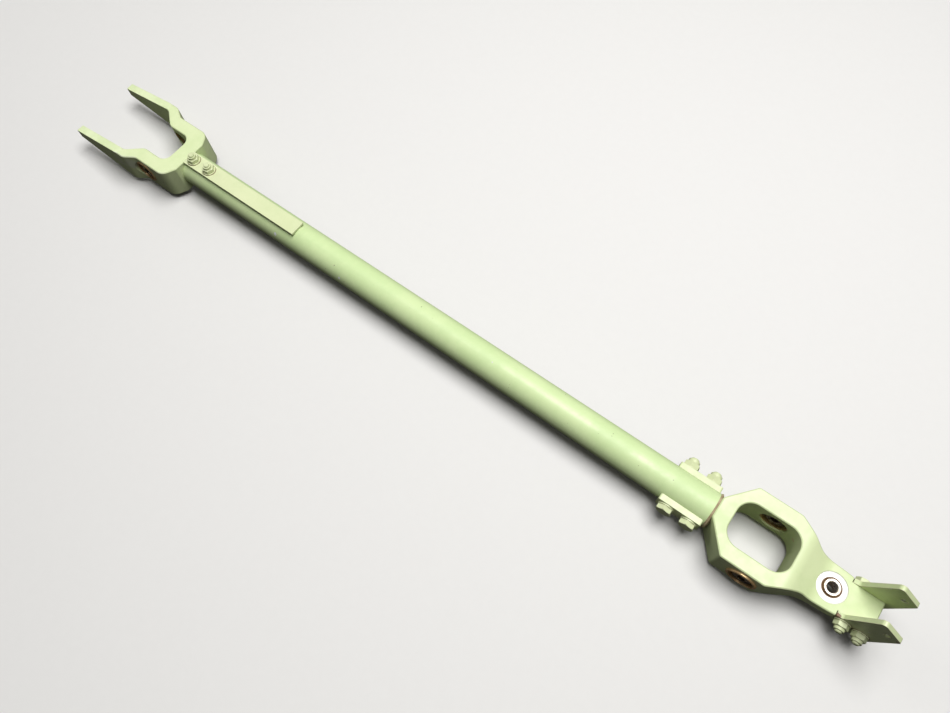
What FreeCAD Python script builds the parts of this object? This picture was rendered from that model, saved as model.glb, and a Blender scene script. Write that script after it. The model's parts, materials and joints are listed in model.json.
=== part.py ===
"""Cyclic torque tube of a light helicopter, as an assembly of separate pieces, in millimetres.

A thin-walled tube joins two machined fittings. At one end is a fork: thick walls that hold a pair
of ball bearings, and two long tapered prongs. At the other end is a frame with a rounded window, a
second pair of ball bearings across it, and a neck with a spherical bearing and two upright ears.
The origin is on the tube's axis, in the middle of the fork's bearing pair. +X runs along the tube
towards the frame, +Y is the bearings' axis and +Z is up.
"""
import FreeCAD
import Part
import math
import os

from FreeCAD import Vector

# Tube
TUBE_DIAMETER = 28.575
TUBE_WALL = 1.59
BEARING_SPACING = 631.7
SEAT_CLEARANCE = 0.04

# Plate stock that both fittings are cut from
FITTING_THICKNESS = 31.75
EDGE_BREAK = 0.8

# Fork fitting, measured from the bearing axis; towards the prong tips is negative
FORK_END_X = 36.5
FORK_END_WIDTH = 35.0
FORK_SHOULDER_X = 30.0
FORK_WALL = 13.2
FORK_GAP = 32.8
FORK_GAP_END_X = 20.5
FORK_GAP_RADIUS = 8.5
FORK_WALL_TIP_X = -6.0
PRONG_THICKNESS = 7.4
PRONG_GAP = 58.2
PRONG_ROOT_X = -17.0
PRONG_TIP_X = -91.8
PRONG_TIP_HEIGHT = 8.5
PRONG_TAPER_START_X = -24.0
FORK_BEND_RADIUS = 9.0
FORK_SHOULDER_RADIUS = 10.0

# Frame fitting, measured from its own bearing axis
FRAME_END_X = -39.5
FRAME_END_WIDTH = 17.0
FRAME_SHOULDER_X = -21.7
FRAME_CORNER_X = 12.7
FRAME_WIDTH = 60.4
FRAME_WALL = 12.2
FRAME_CORNER_RADIUS = 5.0
WINDOW_START_X = -27.3
WINDOW_END_X = 21.3
WINDOW_RADIUS = 12.0
NECK_X = 36.0
NECK_WIDTH = 35.0
NECK_RADIUS = 16.0
HUB_X = 57.0
HUB_WIDTH = 32.4
EAR_SHOULDER_WIDTH = 31.0
EAR_SHOULDER_GAP = 0.6
ARM_WIDTH = 23.4
ARM_END_X = 87.0
ARM_THICKNESS = 10.2
SLOPE_START_X = 26.0
SLOPE_END_X = 44.0
SLOPE_RADIUS = 14.0
CORNER_RADIUS = 2.5

# Spigots that plug into the tube
SPIGOT_LENGTH = 42.0
SPIGOT_BORE = 13.0

# Ball bearings in the fork and the frame
BEARING_DIAMETER = 22.9
BEARING_WIDTH = 12.3
BEARING_BORE = 6.35
FORK_STAND_OUT = 0.8
FRAME_STAND_OUT = 1.6
FORK_LIP_BORE = 18.0
FRAME_LIP_BORE = 21.4
INNER_RING_WIDTH = 10.0
INNER_RING_DIAMETER = 13.8
OUTER_RING_BORE = 19.2
BALL_DIAMETER = 4.37
BALL_CLEARANCE = 0.12
BALL_COUNT = 7
SHIELD_THICKNESS = 0.5
SHIELD_RECESS = 2.8
SHIELD_CLEARANCE = 0.3

# Spherical bearing in the neck
SWIVEL_X = 52.7
RACE_DIAMETER = 20.64
RACE_WIDTH = 9.4
SPHERE_DIAMETER = 16.7
SPHERE_WIDTH = 12.2
SPHERE_BORE = 7.94
SPHERE_CLEARANCE = 0.03
SPHERE_CHAMFER = 0.4
SWIVEL_TILT = 10.0
LINER_THICKNESS = 0.28
LAND_DIAMETER = 22.4
LAND_DEPTH = 0.4

# Flat strip on top of the tube beside the fork, and the short saddle under it
STRIP_LENGTH = 139.0
STRIP_WIDTH = 14.6
STRIP_THICKNESS = 2.3
STRIP_START_GAP = 0.75
SADDLE_LENGTH = 35.0
SADDLE_WIDTH = 14.6
SADDLE_CROWN = 3.0
SADDLE_CORNER = 1.5
FORK_SADDLE_GAP = 0.5
FRAME_SADDLE_GAP = 1.0

# Ears on the arm, seen from the side and measured from the frame's bearing axis and the tube's
EAR_THICKNESS = 3.6
EAR_LEFT_X = 63.0
EAR_KINK_X = 67.3
EAR_KINK_HEIGHT = 6.5
EAR_TOP_X = 78.2
EAR_TOP_HEIGHT = 45.7
EAR_RIGHT_X = 95.8
EAR_SHOULDER_HEIGHT = 31.6
EAR_FOOT_X = 90.0
EAR_FOOT_DEPTH = 12.1
EAR_FOOT_CUT = 6.0
EAR_CORNER_RADIUS = 2.6
EAR_HOLE_X = 87.6
EAR_HOLE_HEIGHT = 29.2
EAR_HOLE_DIAMETER = 4.83

# Sealant bead where the tube meets the frame
BEAD_WIDTH = 1.6
BEAD_HEIGHT = 0.7

# Fasteners: small bolts at the fork and the ears, larger ones at the frame
SMALL_BOLT = {"shank": 4.76, "hex": 9.53, "head": 3.2, "washer": 12.0, "sheet": 0.9, "nut": 3.6,
              "collar": 7.4, "collar_height": 2.3, "tip": 1.5}
LARGE_BOLT = {"shank": 6.35, "hex": 11.1, "head": 4.0, "washer": 13.0, "sheet": 1.2, "nut": 4.4,
              "collar": 9.0, "collar_height": 2.6, "tip": 1.8}
HOLE_CLEARANCE = 0.05
HEX_CHAMFER = 0.5
FORK_BOLT_PITCH = 20.2
FRAME_BOLT_PITCH = 19.0
EAR_BOLT_X = 70.0
EAR_BOLT_PITCH = 12.9

# Places worked out from the sizes above
TUBE_RADIUS = TUBE_DIAMETER / 2
TUBE_BORE_RADIUS = TUBE_RADIUS - TUBE_WALL
SPIGOT_RADIUS = TUBE_BORE_RADIUS - SEAT_CLEARANCE
HALF_STOCK = FITTING_THICKNESS / 2
FRAME_X = BEARING_SPACING
TUBE_START_X = FORK_END_X
TUBE_END_X = FRAME_X + FRAME_END_X
FORK_OUTER_Y = FORK_GAP / 2 + FORK_WALL
FORK_BEARING_Y = FORK_OUTER_Y + FORK_STAND_OUT - BEARING_WIDTH / 2
FRAME_OUTER_Y = FRAME_WIDTH / 2
FRAME_BEARING_Y = FRAME_OUTER_Y + FRAME_STAND_OUT - BEARING_WIDTH / 2
STRIP_TOP_Z = TUBE_RADIUS + SEAT_CLEARANCE + STRIP_THICKNESS
SADDLE_FACE = TUBE_RADIUS + SADDLE_CROWN
FORK_SADDLE_X = FORK_END_X + FORK_SADDLE_GAP + SADDLE_LENGTH / 2
FRAME_SADDLE_X = TUBE_END_X - BEAD_WIDTH - FRAME_SADDLE_GAP - SADDLE_LENGTH / 2
FORK_BOLTS_X = [FORK_SADDLE_X - FORK_BOLT_PITCH / 2, FORK_SADDLE_X + FORK_BOLT_PITCH / 2]
FRAME_BOLTS_X = [FRAME_SADDLE_X - FRAME_BOLT_PITCH / 2, FRAME_SADDLE_X + FRAME_BOLT_PITCH / 2]
EAR_BOLTS_X = [FRAME_X + EAR_BOLT_X, FRAME_X + EAR_BOLT_X + EAR_BOLT_PITCH]
EAR_OUTER_Y = ARM_WIDTH / 2 + EAR_THICKNESS

X_AXIS = Vector(1, 0, 0)
Y_AXIS = Vector(0, 1, 0)
Z_AXIS = Vector(0, 0, 1)


def rounded_wire(corners):
    """A closed wire through (point, radius) corners; each radius becomes a tangent arc."""
    edges = []
    starts = []
    ends = []
    middles = []
    count = len(corners)
    for i, (point, radius) in enumerate(corners):
        before = (corners[i - 1][0] - point).normalize()
        after = (corners[(i + 1) % count][0] - point).normalize()
        half = before.getAngle(after) / 2
        reach = radius / math.tan(half)
        starts.append(point + before * reach)
        ends.append(point + after * reach)
        bisector = (before + after).normalize()
        middles.append(point + bisector * (radius / math.sin(half) - radius))
    for i, (point, radius) in enumerate(corners):
        if radius > 0:
            edges.append(Part.Arc(starts[i], middles[i], ends[i]).toShape())
        follower = starts[(i + 1) % count]
        edges.append(Part.LineSegment(ends[i], follower).toShape())
    return Part.Wire(edges)


def mirrored_outline(half, flip):
    """Corners of one half of a symmetric outline, followed by the other half in reverse."""
    return half + [(flip(point), radius) for point, radius in reversed(half)]


def across(point):
    """The point on the other side of the XZ plane."""
    return Vector(point.x, -point.y, point.z)


def upside_down(point):
    """The point on the other side of the XY plane."""
    return Vector(point.x, point.y, -point.z)


def prism(wire, start, travel):
    """The wire's face, moved by start and extruded along travel."""
    face = Part.Face(wire)
    face.translate(start)
    return face.extrude(travel)


def rod(radius, start, travel):
    """A round bar from start along the vector travel."""
    return Part.makeCylinder(radius, travel.Length, start, travel)


def drilled(body, radius, places, travel):
    """The body with a round hole along travel at each place."""
    for place in places:
        body = body.cut(rod(radius, place, travel))
    return body


def fork_half_height(x):
    """Half the fork's thickness at x: full at the walls, tapering along the prongs."""
    if x >= PRONG_TAPER_START_X:
        return HALF_STOCK
    share = (PRONG_TAPER_START_X - x) / (PRONG_TAPER_START_X - PRONG_TIP_X)
    return HALF_STOCK - share * (HALF_STOCK - PRONG_TIP_HEIGHT / 2)


def spigot(shoulder_x, direction):
    """The round plug of a fitting that slides into the tube, bored out to save weight."""
    start = Vector(shoulder_x - direction, 0, 0)
    length = SPIGOT_LENGTH + 1
    plug = rod(SPIGOT_RADIUS, start, X_AXIS * (direction * length))
    bore_start = Vector(shoulder_x + direction * SPIGOT_LENGTH, 0, 0)
    return plug, rod(SPIGOT_BORE / 2, bore_start, X_AXIS * (-direction * SPIGOT_LENGTH))


def fork_outline():
    """Half of the fork seen from above, from the tube's face round to the inside of the gap."""
    outer = PRONG_GAP / 2 + PRONG_THICKNESS
    lean = (PRONG_GAP - FORK_GAP) / 2
    return [
        (Vector(FORK_END_X, FORK_END_WIDTH / 2, 0), CORNER_RADIUS),
        (Vector(FORK_SHOULDER_X, FORK_OUTER_Y, 0), FORK_SHOULDER_RADIUS),
        (Vector(FORK_WALL_TIP_X, FORK_OUTER_Y, 0), FORK_BEND_RADIUS),
        (Vector(PRONG_ROOT_X, outer, 0), FORK_BEND_RADIUS),
        (Vector(PRONG_TIP_X, outer, 0), 0.6),
        (Vector(PRONG_TIP_X, PRONG_GAP / 2, 0), 0.6),
        (Vector(PRONG_ROOT_X - PRONG_THICKNESS * 0.8, PRONG_GAP / 2, 0), FORK_BEND_RADIUS),
        (Vector(PRONG_ROOT_X - PRONG_THICKNESS * 0.8 + lean * 1.25, FORK_GAP / 2, 0),
         FORK_BEND_RADIUS),
        (Vector(FORK_GAP_END_X, FORK_GAP / 2, 0), FORK_GAP_RADIUS),
    ]


def fork_profile():
    """Half of the fork seen from the side, above the tube's axis."""
    return [
        (Vector(PRONG_TIP_X - 1, 0, fork_half_height(PRONG_TIP_X - 1)), 0),
        (Vector(PRONG_TAPER_START_X, 0, HALF_STOCK), 0),
        (Vector(FORK_END_X + 1, 0, HALF_STOCK), 0),
    ]


def fork_fitting():
    """The fork: bearing walls, tapered prongs and the spigot inside the tube."""
    plan = prism(rounded_wire(mirrored_outline(fork_outline(), across)),
                 Vector(0, 0, -HALF_STOCK), Z_AXIS * FITTING_THICKNESS)
    side = mirrored_outline(fork_profile(), upside_down)
    width = PRONG_GAP + 2 * PRONG_THICKNESS + 2
    taper = prism(rounded_wire(side), Vector(0, -width / 2, 0), Y_AXIS * width)
    body = broken_edges(plan).common(taper)
    plug, bore = spigot(FORK_END_X, 1)
    body = body.fuse(plug).cut(bore)
    body = bearing_seats(body, 0, FORK_OUTER_Y, FORK_STAND_OUT, FORK_LIP_BORE)
    holes = [Vector(x, 0, -TUBE_RADIUS) for x in FORK_BOLTS_X]
    return drilled(body, SMALL_BOLT["shank"] / 2 + HOLE_CLEARANCE, holes, Z_AXIS * TUBE_DIAMETER)


def broken_edges(body):
    """The body with its upper and lower rims chamfered."""
    rims = []
    for edge in body.Edges:
        faces = body.ancestorsOfType(edge, Part.Face)
        if len(faces) != 2:
            continue
        leans = sorted(abs(middle_normal(face).z) for face in faces)
        if leans[0] < 0.02 and leans[1] > 0.5:
            rims.append(edge)
    return body.makeChamfer(EDGE_BREAK, rims)


def middle_normal(face):
    """The face's normal at the middle of its parameters."""
    low_u, high_u, low_v, high_v = face.ParameterRange
    return face.normalAt((low_u + high_u) / 2, (low_v + high_v) / 2)


def bearing_seats(body, x, outer_y, stand_out, lip_bore):
    """The body bored through both walls at x, and counterbored for two bearings.

    The counterbores come in from well outside, so they also clear what stands beyond the walls.
    """
    body = body.cut(rod(lip_bore / 2, Vector(x, -outer_y - 1, 0), Y_AXIS * (2 * outer_y + 2)))
    depth = BEARING_WIDTH - stand_out
    for side in (-1, 1):
        start = Vector(x, side * (outer_y - depth), 0)
        travel = Y_AXIS * (side * (depth + outer_y))
        body = body.cut(rod(BEARING_DIAMETER / 2 + SEAT_CLEARANCE, start, travel))
    return body


def frame_outline():
    """Half of the frame seen from above, from the tube's face round to the end of the arm."""
    points = [
        (FRAME_END_X, FRAME_END_WIDTH / 2, CORNER_RADIUS),
        (FRAME_SHOULDER_X, FRAME_OUTER_Y, CORNER_RADIUS),
        (FRAME_CORNER_X, FRAME_OUTER_Y, FRAME_CORNER_RADIUS),
        (NECK_X, NECK_WIDTH / 2, NECK_RADIUS),
        (HUB_X, HUB_WIDTH / 2, NECK_RADIUS),
        (EAR_LEFT_X, EAR_SHOULDER_WIDTH / 2, CORNER_RADIUS),
        (ARM_END_X, EAR_SHOULDER_WIDTH / 2, 0),
    ]
    return [(Vector(FRAME_X + x, y, 0), radius) for x, y, radius in points]


def frame_profile():
    """Half of the frame seen from the side: full stock, then a slope down to the thin arm."""
    half_arm = ARM_THICKNESS / 2
    points = [
        (FRAME_END_X - 1, HALF_STOCK, 0),
        (SLOPE_START_X, HALF_STOCK, SLOPE_RADIUS),
        (SLOPE_END_X, half_arm, SLOPE_RADIUS),
        (ARM_END_X + 1, half_arm, 0),
    ]
    return [(Vector(FRAME_X + x, 0, z), radius) for x, z, radius in points]


def window():
    """The frame's rounded window as a solid to cut away."""
    half = FRAME_OUTER_Y - FRAME_WALL
    corners = [(FRAME_X + WINDOW_START_X, half), (FRAME_X + WINDOW_END_X, half)]
    outline = [(Vector(x, y, 0), WINDOW_RADIUS) for x, y in corners]
    return prism(rounded_wire(mirrored_outline(outline, across)),
                 Vector(0, 0, -HALF_STOCK - 1), Z_AXIS * (FITTING_THICKNESS + 2))


def ear_seat(side):
    """The flat milled into one side of the arm, where an ear lies against its shoulder."""
    start_x = FRAME_X + EAR_LEFT_X - EAR_SHOULDER_GAP
    length = ARM_END_X - EAR_LEFT_X + EAR_SHOULDER_GAP + 1
    seat = Part.makeBox(length, FRAME_WIDTH, FITTING_THICKNESS, Vector(start_x, 0, -HALF_STOCK))
    seat.translate(Vector(0, ARM_WIDTH / 2 if side > 0 else -ARM_WIDTH / 2 - FRAME_WIDTH, 0))
    return seat


def frame_fitting():
    """The frame: window, bearing walls, neck, arm and the spigot inside the tube."""
    plan = prism(rounded_wire(mirrored_outline(frame_outline(), across)),
                 Vector(0, 0, -HALF_STOCK), Z_AXIS * FITTING_THICKNESS)
    side = mirrored_outline(frame_profile(), upside_down)
    body = plan.common(prism(rounded_wire(side), Vector(0, -FRAME_WIDTH, 0), Y_AXIS * 2 * FRAME_WIDTH))
    body = broken_edges(body.cut(window()))
    for side_y in (1, -1):
        body = body.cut(ear_seat(side_y))
    plug, bore = spigot(TUBE_END_X, -1)
    body = body.fuse(plug).cut(bore)
    body = bearing_seats(body, FRAME_X, FRAME_OUTER_Y, FRAME_STAND_OUT, FRAME_LIP_BORE)
    swivel = Vector(FRAME_X + SWIVEL_X, 0, -HALF_STOCK)
    body = drilled(body, RACE_DIAMETER / 2, [swivel], Z_AXIS * FITTING_THICKNESS)
    for side_z in (1, -1):
        land = Vector(FRAME_X + SWIVEL_X, 0, side_z * (ARM_THICKNESS / 2 - LAND_DEPTH))
        body = body.cut(rod(LAND_DIAMETER / 2, land, Z_AXIS * (side_z * HALF_STOCK)))
    clear = HOLE_CLEARANCE
    crossings = [Vector(x, -TUBE_RADIUS, 0) for x in FRAME_BOLTS_X]
    body = drilled(body, LARGE_BOLT["shank"] / 2 + clear, crossings, Y_AXIS * TUBE_DIAMETER)
    crossings = [Vector(x, -FRAME_OUTER_Y, 0) for x in EAR_BOLTS_X]
    return drilled(body, SMALL_BOLT["shank"] / 2 + clear, crossings, Y_AXIS * FRAME_WIDTH)


def torque_tube():
    """The thin-walled tube, drilled upright beside the fork and crosswise beside the frame."""
    length = TUBE_END_X - TUBE_START_X
    start = Vector(TUBE_START_X, 0, 0)
    body = rod(TUBE_RADIUS, start, X_AXIS * length).cut(rod(TUBE_BORE_RADIUS, start, X_AXIS * length))
    upright = [Vector(x, 0, -TUBE_DIAMETER) for x in FORK_BOLTS_X]
    body = drilled(body, SMALL_BOLT["shank"] / 2 + HOLE_CLEARANCE, upright, Z_AXIS * 2 * TUBE_DIAMETER)
    crosswise = [Vector(x, -TUBE_DIAMETER, 0) for x in FRAME_BOLTS_X]
    return drilled(body, LARGE_BOLT["shank"] / 2 + HOLE_CLEARANCE, crosswise,
                   Y_AXIS * 2 * TUBE_DIAMETER)


def top_strip():
    """The long flat strip on top of the tube, with bolt holes at the fork end."""
    start_x = FORK_END_X + STRIP_START_GAP
    base = Vector(start_x, -STRIP_WIDTH / 2, TUBE_RADIUS + SEAT_CLEARANCE)
    body = Part.makeBox(STRIP_LENGTH, STRIP_WIDTH, STRIP_THICKNESS, base)
    holes = [Vector(x, 0, TUBE_RADIUS - 1) for x in FORK_BOLTS_X]
    return drilled(body, SMALL_BOLT["shank"] / 2 + HOLE_CLEARANCE, holes,
                   Z_AXIS * (STRIP_THICKNESS + 2))


def saddle(middle, bolts_x, bolt):
    """A short saddle plate under the tube, hollowed to its radius, for the bolts at bolts_x."""
    half = SADDLE_WIDTH / 2
    outline = [
        (Vector(middle - SADDLE_LENGTH / 2, -half, 0), SADDLE_CORNER),
        (Vector(middle + SADDLE_LENGTH / 2, -half, 0), SADDLE_CORNER),
        (Vector(middle + SADDLE_LENGTH / 2, half, 0), SADDLE_CORNER),
        (Vector(middle - SADDLE_LENGTH / 2, half, 0), SADDLE_CORNER),
    ]
    block = prism(rounded_wire(outline), Vector(0, 0, -SADDLE_FACE), Z_AXIS * (SADDLE_FACE - 1))
    start = Vector(middle - SADDLE_LENGTH, 0, 0)
    block = block.cut(rod(TUBE_RADIUS + SEAT_CLEARANCE, start, X_AXIS * 2 * SADDLE_LENGTH))
    holes = [Vector(x, 0, -SADDLE_FACE - 1) for x in bolts_x]
    return drilled(block, bolt["shank"] / 2 + HOLE_CLEARANCE, holes, Z_AXIS * SADDLE_FACE)


def turned_about_tube(body, angle):
    """The body turned about the tube's axis, so that what was below faces another way."""
    moved = body.copy()
    moved.rotate(Vector(0, 0, 0), X_AXIS, angle)
    return moved


def hexagon(across_flats, height):
    """A hexagonal block from z 0 up, with its upper corners turned off at 30 degrees."""
    radius = across_flats / math.sqrt(3)
    corners = [Vector(radius * math.cos(k * math.pi / 3), radius * math.sin(k * math.pi / 3), 0)
               for k in range(6)]
    block = Part.Face(Part.makePolygon(corners + corners[:1])).extrude(Z_AXIS * height)
    drop = HEX_CHAMFER
    widen = drop / math.tan(math.radians(30))
    rim = across_flats / 2
    cone = Part.makeCone(rim + widen * (height / drop), rim - 0.1, height, Vector(0, 0, 0))
    return block.common(cone)


def bolt_stack(bolt, grip):
    """Bolt, two washers and nut along +Z; the joint's faces are at z 0 and z grip."""
    shank = bolt["shank"] / 2
    sheet = bolt["sheet"]
    nut_base = grip + sheet
    nut_top = nut_base + bolt["nut"] + bolt["collar_height"]
    head = hexagon(bolt["hex"], bolt["head"])
    head.rotate(Vector(0, 0, 0), X_AXIS, 180)
    head.translate(Vector(0, 0, -sheet))
    length = nut_top + bolt["tip"] + sheet
    stem = rod(shank, Vector(0, 0, -sheet), Z_AXIS * length)
    tip_edge = [edge for edge in stem.Edges if edge.BoundBox.ZMin > nut_top + bolt["tip"] - 0.01]
    stem = stem.makeChamfer(HEX_CHAMFER, tip_edge)
    washer = rod(bolt["washer"] / 2, Vector(0, 0, 0), Z_AXIS * sheet)
    washer = washer.cut(rod(shank + HOLE_CLEARANCE, Vector(0, 0, 0), Z_AXIS * sheet))
    low, high = washer.copy(), washer.copy()
    low.translate(Vector(0, 0, -sheet))
    high.translate(Vector(0, 0, grip))
    nut = hexagon(bolt["hex"], bolt["nut"])
    nut = nut.fuse(rod(bolt["collar"] / 2, Vector(0, 0, 0), Z_AXIS * (bolt["nut"] + bolt["collar_height"])))
    nut = nut.cut(rod(shank + SEAT_CLEARANCE, Vector(0, 0, 0), Z_AXIS * (nut_top + 1))).removeSplitter()
    nut.translate(Vector(0, 0, nut_base))
    return {"bolts": head.fuse(stem).removeSplitter(), "washers": [low, high], "nuts": nut}


def placed_stacks(bolt, grip, places, axis, roll):
    """The bolt stack at each place, its +Z turned to axis; grouped into bolts, washers and nuts."""
    groups = {"bolts": [], "washers": [], "nuts": []}
    turn = FreeCAD.Rotation(Z_AXIS, axis)
    for place in places:
        spin = FreeCAD.Rotation(Z_AXIS, roll)
        seat = FreeCAD.Placement(place, turn.multiply(spin))
        for name, pieces in bolt_stack(bolt, grip).items():
            for piece in pieces if isinstance(pieces, list) else [pieces]:
                groups[name].append(moved(piece, seat))
    return {name: Part.makeCompound(pieces) for name, pieces in groups.items()}


def moved(piece, seat):
    """A copy of the piece at the placement seat."""
    shifted = piece.copy()
    shifted.Placement = seat.multiply(shifted.Placement)
    return shifted


def ear(side):
    """An upright ear plate on one side of the arm: -1 is the front, +1 the rear."""
    outline = [
        (Vector(FRAME_X + EAR_LEFT_X, 0, -EAR_FOOT_DEPTH + EAR_FOOT_CUT), EAR_CORNER_RADIUS),
        (Vector(FRAME_X + EAR_LEFT_X + EAR_FOOT_CUT, 0, -EAR_FOOT_DEPTH), EAR_CORNER_RADIUS),
        (Vector(FRAME_X + EAR_FOOT_X, 0, -EAR_FOOT_DEPTH), EAR_CORNER_RADIUS),
        (Vector(FRAME_X + EAR_RIGHT_X, 0, EAR_SHOULDER_HEIGHT), EAR_CORNER_RADIUS),
        (Vector(FRAME_X + EAR_TOP_X, 0, EAR_TOP_HEIGHT), EAR_CORNER_RADIUS),
        (Vector(FRAME_X + EAR_KINK_X, 0, EAR_KINK_HEIGHT), EAR_CORNER_RADIUS),
        (Vector(FRAME_X + EAR_LEFT_X, 0, ARM_THICKNESS / 2), 0),
    ]
    inner = side * ARM_WIDTH / 2
    plate = prism(rounded_wire(outline), Vector(0, inner, 0), Y_AXIS * (side * EAR_THICKNESS))
    start_y = -EAR_OUTER_Y - 1
    crossings = [Vector(x, start_y, 0) for x in EAR_BOLTS_X]
    plate = drilled(plate, SMALL_BOLT["shank"] / 2 + HOLE_CLEARANCE, crossings,
                    Y_AXIS * (2 * EAR_OUTER_Y + 2))
    hole = Vector(FRAME_X + EAR_HOLE_X, start_y, EAR_HOLE_HEIGHT)
    return drilled(plate, EAR_HOLE_DIAMETER / 2, [hole], Y_AXIS * (2 * EAR_OUTER_Y + 2))


def ring(outer, inner, width):
    """A plain ring about the Y axis, centred on the origin."""
    start = Vector(0, -width / 2, 0)
    return rod(outer, start, Y_AXIS * width).cut(rod(inner, start, Y_AXIS * width))


def ball_bearing():
    """Outer ring, inner ring, balls and shields of one bearing, about Y at the origin."""
    pitch = (OUTER_RING_BORE + INNER_RING_DIAMETER) / 4
    groove = Part.makeTorus(pitch, BALL_DIAMETER / 2 + BALL_CLEARANCE, Vector(0, 0, 0), Y_AXIS)
    outer = ring(BEARING_DIAMETER / 2, OUTER_RING_BORE / 2, BEARING_WIDTH).cut(groove)
    rims = [edge for edge in outer.Edges if edge.Curve.TypeId == "Part::GeomCircle"
            and abs(edge.Curve.Radius - BEARING_DIAMETER / 2) < 0.01]
    outer = outer.makeChamfer(SHIELD_THICKNESS, rims)
    inner = ring(INNER_RING_DIAMETER / 2, BEARING_BORE / 2, INNER_RING_WIDTH).cut(groove)
    rims = [edge for edge in inner.Edges if edge.Curve.TypeId == "Part::GeomCircle"
            and abs(abs(edge.Curve.Center.y) - INNER_RING_WIDTH / 2) < 0.01
            and edge.Curve.Radius > BEARING_BORE]
    inner = inner.makeChamfer(SHIELD_THICKNESS, rims)
    balls = []
    for k in range(BALL_COUNT):
        angle = 2 * math.pi * k / BALL_COUNT
        centre = Vector(pitch * math.cos(angle), 0, pitch * math.sin(angle))
        balls.append(Part.makeSphere(BALL_DIAMETER / 2, centre))
    shields = []
    for side in (-1, 1):
        shield = ring(OUTER_RING_BORE / 2, INNER_RING_DIAMETER / 2 + SHIELD_CLEARANCE, SHIELD_THICKNESS)
        offset = BEARING_WIDTH / 2 - SHIELD_RECESS - SHIELD_THICKNESS / 2
        shield.translate(Y_AXIS * (side * offset))
        shields.append(shield)
    return {"outer_ring": outer, "inner_ring": inner, "balls": Part.makeCompound(balls),
            "shields": Part.makeCompound(shields)}


def swivel_bearing():
    """Race, liner and ball of the spherical bearing in the neck, about Z."""
    centre = Vector(FRAME_X + SWIVEL_X, 0, 0)
    ball_radius = SPHERE_DIAMETER / 2
    liner_bore = ball_radius + SPHERE_CLEARANCE
    race_bore = liner_bore + LINER_THICKNESS
    base = centre - Z_AXIS * (RACE_WIDTH / 2)
    width = Z_AXIS * RACE_WIDTH
    race = rod(RACE_DIAMETER / 2, base, width).cut(Part.makeSphere(race_bore, centre))
    shell = Part.makeSphere(race_bore, centre).cut(Part.makeSphere(liner_bore, centre))
    liner = shell.common(rod(RACE_DIAMETER / 2, base, width))
    slab = rod(RACE_DIAMETER / 2, centre - Z_AXIS * (SPHERE_WIDTH / 2), Z_AXIS * SPHERE_WIDTH)
    ball = Part.makeSphere(ball_radius, centre).common(slab)
    ball = ball.cut(rod(SPHERE_BORE / 2, centre - Z_AXIS * SPHERE_WIDTH, Z_AXIS * 2 * SPHERE_WIDTH))
    mouths = [edge for edge in ball.Edges if edge.BoundBox.ZLength < 0.01
              and abs(edge.BoundBox.XLength - SPHERE_BORE) < 0.01]
    ball = ball.makeChamfer(SPHERE_CHAMFER, mouths)
    return {"swivel_race": race, "swivel_liner": liner, "swivel_ball": ball}


def sealant_bead(frame):
    """The bead of sealant round the joint: a lip on the tube, and a wedge beside the frame's end."""
    start = Vector(TUBE_END_X, 0, 0)
    edge = TUBE_RADIUS + BEAD_HEIGHT
    wedge = Part.makeCone(edge, SPIGOT_RADIUS, BEAD_WIDTH, start, X_AXIS)
    wedge = wedge.cut(rod(SPIGOT_RADIUS, start, X_AXIS * BEAD_WIDTH)).cut(frame)
    seat = TUBE_RADIUS + SEAT_CLEARANCE
    lip = Part.makeCone(edge, seat, BEAD_WIDTH, start, -X_AXIS)
    lip = lip.cut(rod(seat, start, -X_AXIS * BEAD_WIDTH))
    return wedge.fuse(lip).removeSplitter()


def build_parts():
    """Every sub-part by name."""
    frame = frame_fitting()
    parts = {
        "torque_tube": torque_tube(),
        "fork_fitting": fork_fitting(),
        "frame_fitting": frame,
        "top_strip": top_strip(),
        "sealant_bead": sealant_bead(frame),
        "front_ear": ear(-1),
        "rear_ear": ear(1),
    }
    parts["fork_saddle"] = saddle(FORK_SADDLE_X, FORK_BOLTS_X, SMALL_BOLT)
    side_saddle = saddle(FRAME_SADDLE_X, FRAME_BOLTS_X, LARGE_BOLT)
    parts["front_saddle"] = turned_about_tube(side_saddle, -90)
    parts["rear_saddle"] = turned_about_tube(side_saddle, 90)
    fork_places = [Vector(x, 0, -SADDLE_FACE) for x in FORK_BOLTS_X]
    frame_places = [Vector(x, -SADDLE_FACE, 0) for x in FRAME_BOLTS_X]
    ear_places = [Vector(x, EAR_OUTER_Y, 0) for x in EAR_BOLTS_X]
    stacks = {
        "fork": placed_stacks(SMALL_BOLT, SADDLE_FACE + STRIP_TOP_Z, fork_places, Z_AXIS, 12),
        "frame": placed_stacks(LARGE_BOLT, 2 * SADDLE_FACE, frame_places, Y_AXIS, 20),
        "ear": placed_stacks(SMALL_BOLT, 2 * EAR_OUTER_Y, ear_places, -Y_AXIS, 8),
    }
    for joint, groups in stacks.items():
        for name, pieces in groups.items():
            parts[f"{joint}_{name}"] = pieces
    seats = {
        "fork_front": Vector(0, -FORK_BEARING_Y, 0),
        "fork_rear": Vector(0, FORK_BEARING_Y, 0),
        "frame_front": Vector(FRAME_X, -FRAME_BEARING_Y, 0),
        "frame_rear": Vector(FRAME_X, FRAME_BEARING_Y, 0),
    }
    for place, centre in seats.items():
        for name, piece in ball_bearing().items():
            piece.translate(centre)
            parts[f"{place}_{name}"] = piece
    parts.update(swivel_bearing())
    return parts


os.makedirs("parts", exist_ok=True)
for node, shape in build_parts().items():
    shape.exportStep(f"parts/{node}.step")
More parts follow.
